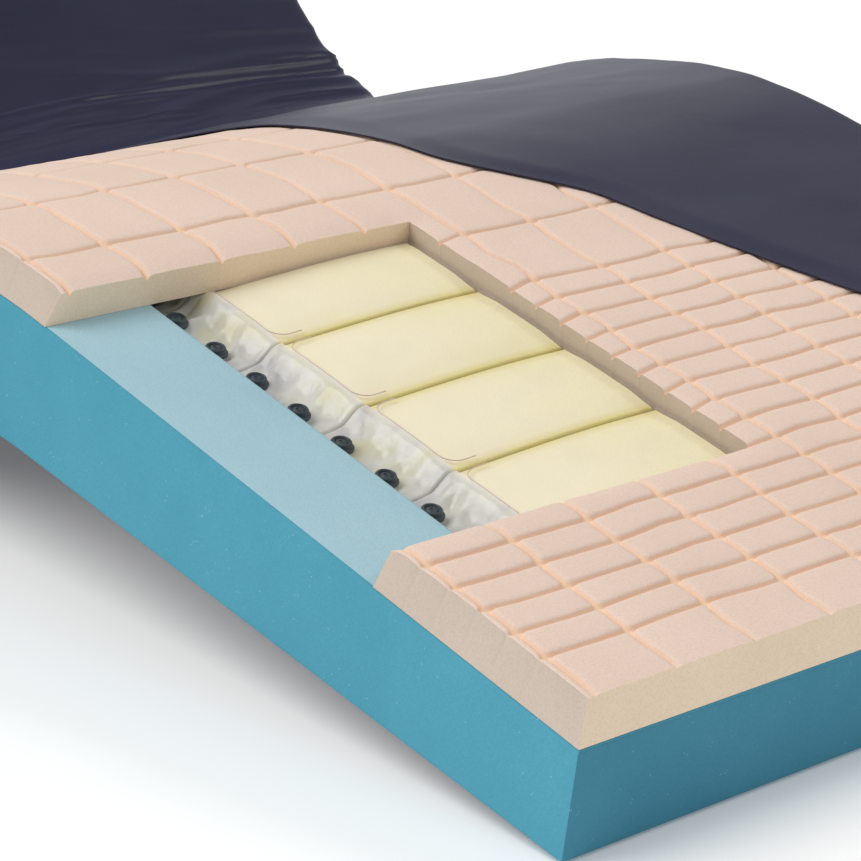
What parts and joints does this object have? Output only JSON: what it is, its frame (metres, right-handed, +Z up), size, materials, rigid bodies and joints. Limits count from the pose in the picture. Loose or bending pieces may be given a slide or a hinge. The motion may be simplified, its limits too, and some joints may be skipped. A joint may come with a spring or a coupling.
{
  "type": "pressure relief mattress",
  "caption": "Hospital pressure relief mattress with foam filled air cells in a foam base, a castellated topper and a cover cut away to show the layers; it bends at knees, hips and back.",
  "frame": {"origin": "centre of the bounding box, on the floor", "axes": "+X towards the foot end, +Y to the side with the cover on, +Z up"},
  "size_m": [1.8466, 0.8884, 0.4875],
  "materials": {
    "base_foam": "blue open cell foam, matt",
    "topper_foam": "peach open cell foam, matt",
    "cell_foam": "pale yellow open cell foam, matt",
    "cover": "navy coated stretch fabric, satin",
    "sleeve_film": "clear film",
    "valve_plastic": "dark moulded rubber",
    "zip_tape": "woven tape with moulded teeth",
    "zip_metal": "die cast slider"
  },
  "bodies": {
    "calf": {"base_tray_calf": "base_foam", "topper_calf": "topper_foam", "top_cover_calf": "cover", "under_cover_calf": "cover", "sleeves_calf": "sleeve_film", "valves_calf": "valve_plastic", "zip_calf": "zip_tape", "cell_foam_01": "cell_foam", "cell_foam_02": "cell_foam", "cell_foam_03": "cell_foam", "cell_foam_04": "cell_foam", "cell_foam_05": "cell_foam", "cell_foam_06": "cell_foam"},
    "knee": {"base_tray_knee": "base_foam", "topper_knee": "topper_foam", "top_cover_knee": "cover", "under_cover_knee": "cover", "sleeves_knee": "sleeve_film", "valves_knee": "valve_plastic", "zip_knee": "zip_tape", "cell_foam_07": "cell_foam", "cell_foam_08": "cell_foam"},
    "thigh": {"base_tray_thigh": "base_foam", "topper_thigh": "topper_foam", "top_cover_thigh": "cover", "under_cover_thigh": "cover", "sleeves_thigh": "sleeve_film", "valves_thigh": "valve_plastic", "zip_thigh": "zip_tape", "cell_foam_09": "cell_foam", "cell_foam_10": "cell_foam"},
    "seat": {"base_tray_seat": "base_foam", "topper_seat": "topper_foam", "top_cover_seat": "cover", "under_cover_seat": "cover", "sleeves_seat": "sleeve_film", "valves_seat": "valve_plastic", "zip_seat": "zip_tape", "cell_foam_11": "cell_foam", "cell_foam_12": "cell_foam"},
    "lumbar": {"base_tray_lumbar": "base_foam", "topper_lumbar": "topper_foam", "top_cover_lumbar": "cover", "under_cover_lumbar": "cover", "sleeves_lumbar": "sleeve_film", "valves_lumbar": "valve_plastic", "zip_lumbar": "zip_tape", "cell_foam_13": "cell_foam"},
    "back": {"base_tray_back": "base_foam", "topper_back": "topper_foam", "top_cover_back": "cover", "under_cover_back": "cover", "sleeves_back": "sleeve_film", "valves_back": "valve_plastic", "zip_back": "zip_tape", "cell_foam_14": "cell_foam", "cell_foam_15": "cell_foam", "cell_foam_16": "cell_foam", "cell_foam_17": "cell_foam", "zip_slider": "zip_metal"}
  },
  "joints": [
    {"name": "hip_fold", "type": "hinge", "parent": "seat", "child": "thigh", "pos_m": [-0.21038, 0, 0.0014], "axis": [0, -1, 0], "range_deg": [-28, 6]},
    {"name": "knee_upper_fold", "type": "hinge", "parent": "thigh", "child": "knee", "pos_m": [-0.06874, 0, 0.2466], "axis": [0, 1, 0], "range_deg": [-21, 5]},
    {"name": "knee_lower_fold", "type": "hinge", "parent": "knee", "child": "calf", "pos_m": [0.19127, 0, 0.27852], "axis": [0, 1, 0], "range_deg": [-16.9, 4.02]},
    {"name": "lumbar_fold", "type": "hinge", "parent": "seat", "child": "lumbar", "pos_m": [-0.42216, 0, 0.0014], "axis": [0, 1, 0], "range_deg": [-20, 8]},
    {"name": "back_fold", "type": "hinge", "parent": "lumbar", "child": "back", "pos_m": [-0.52184, 0, 0.03768], "axis": [0, 1, 0], "range_deg": [-20, 8]}
  ],
  "couplings": [
    {"joint": "knee_lower_fold", "follows": "knee_upper_fold", "ratio": 0.80476},
    {"joint": "back_fold", "follows": "lumbar_fold", "ratio": 1}
  ]
}
